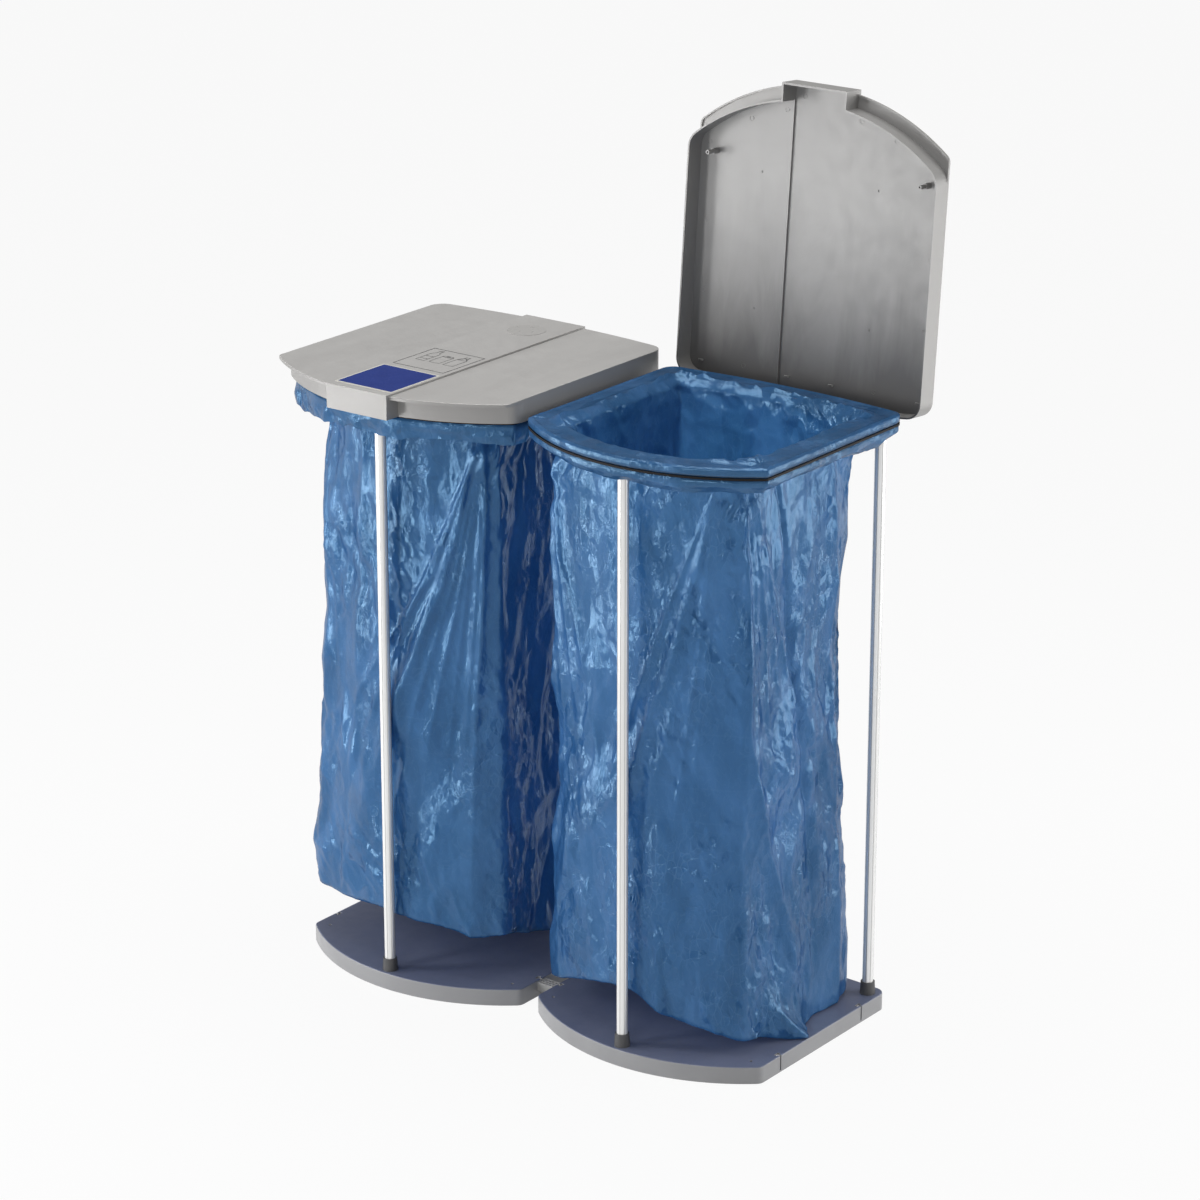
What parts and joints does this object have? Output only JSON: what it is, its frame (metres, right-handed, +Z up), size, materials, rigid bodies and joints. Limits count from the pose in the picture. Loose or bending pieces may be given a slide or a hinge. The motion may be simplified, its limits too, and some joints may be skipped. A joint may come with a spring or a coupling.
{
  "type": "double recycling bin",
  "caption": "Linked free-standing sack holders for sorting waste: flat plastic bases, slim metal poles, rings that grip a film sack, and hinged lids with a front handle block.",
  "frame": {"origin": "bottom centre of the whole object, on the floor midway between the units", "axes": "+Z up, +X from the unit with its lid shut to the unit with its lid open, -Y the front where the handle blocks are"},
  "size_m": [0.892, 0.5564, 1.396],
  "materials": {
    "base_plastic": "fine satin moulded plastic",
    "connector_plastic": "satin moulded plastic",
    "collar_plastic": "satin moulded plastic",
    "pole_aluminium": "bright polished tube",
    "ring_plastic": "satin moulded plastic",
    "sack_film": "glossy, thin, creased film",
    "elastic_black": "matt",
    "pin_steel": "turned",
    "lid_plastic": "silver-grey satin",
    "label_border": "printed film",
    "label_blue": "printed film",
    "print_grey": "printed line",
    "disc_plastic": "satin plastic"
  },
  "bodies": {
    "stand": {"connector_front": "connector_plastic", "connector_rear": "connector_plastic", "left_base_plate": "base_plastic", "left_collar_front": "collar_plastic", "left_collar_rear_left": "collar_plastic", "left_collar_rear_right": "collar_plastic", "left_elastic_band": "elastic_black", "left_hinge_pin_left": "pin_steel", "left_hinge_pin_right": "pin_steel", "left_pole_front": "pole_aluminium", "left_pole_rear_left": "pole_aluminium", "left_pole_rear_right": "pole_aluminium", "left_ring_frame": "ring_plastic", "left_sack_body": "sack_film", "left_sack_cuff": "sack_film", "right_base_plate": "base_plastic", "right_collar_front": "collar_plastic", "right_collar_rear_left": "collar_plastic", "right_collar_rear_right": "collar_plastic", "right_elastic_band": "elastic_black", "right_hinge_pin_left": "pin_steel", "right_hinge_pin_right": "pin_steel", "right_pole_front": "pole_aluminium", "right_pole_rear_left": "pole_aluminium", "right_pole_rear_right": "pole_aluminium", "right_ring_frame": "ring_plastic", "right_sack_body": "sack_film", "right_sack_cuff": "sack_film"},
    "left_lid": {"left_label_frame": "label_border", "left_label_panel": "label_blue", "left_lid_shell": "lid_plastic", "left_picture_frame": "print_grey", "left_rear_disc": "disc_plastic"},
    "right_lid": {"right_label_frame": "label_border", "right_label_panel": "label_blue", "right_lid_shell": "lid_plastic", "right_picture_frame": "print_grey", "right_rear_disc": "disc_plastic"}
  },
  "joints": [
    {"name": "left_lid_hinge", "type": "hinge", "parent": "stand", "child": "left_lid", "pos_m": [-0.225, 0.19178, 0.9284], "axis": [-1, 0, 0], "range_deg": [0, 94.7]},
    {"name": "right_lid_hinge", "type": "hinge", "parent": "stand", "child": "right_lid", "pos_m": [0.225, 0.19178, 0.9284], "axis": [-1, 0, 0], "range_deg": [-94.7, 0]}
  ]
}
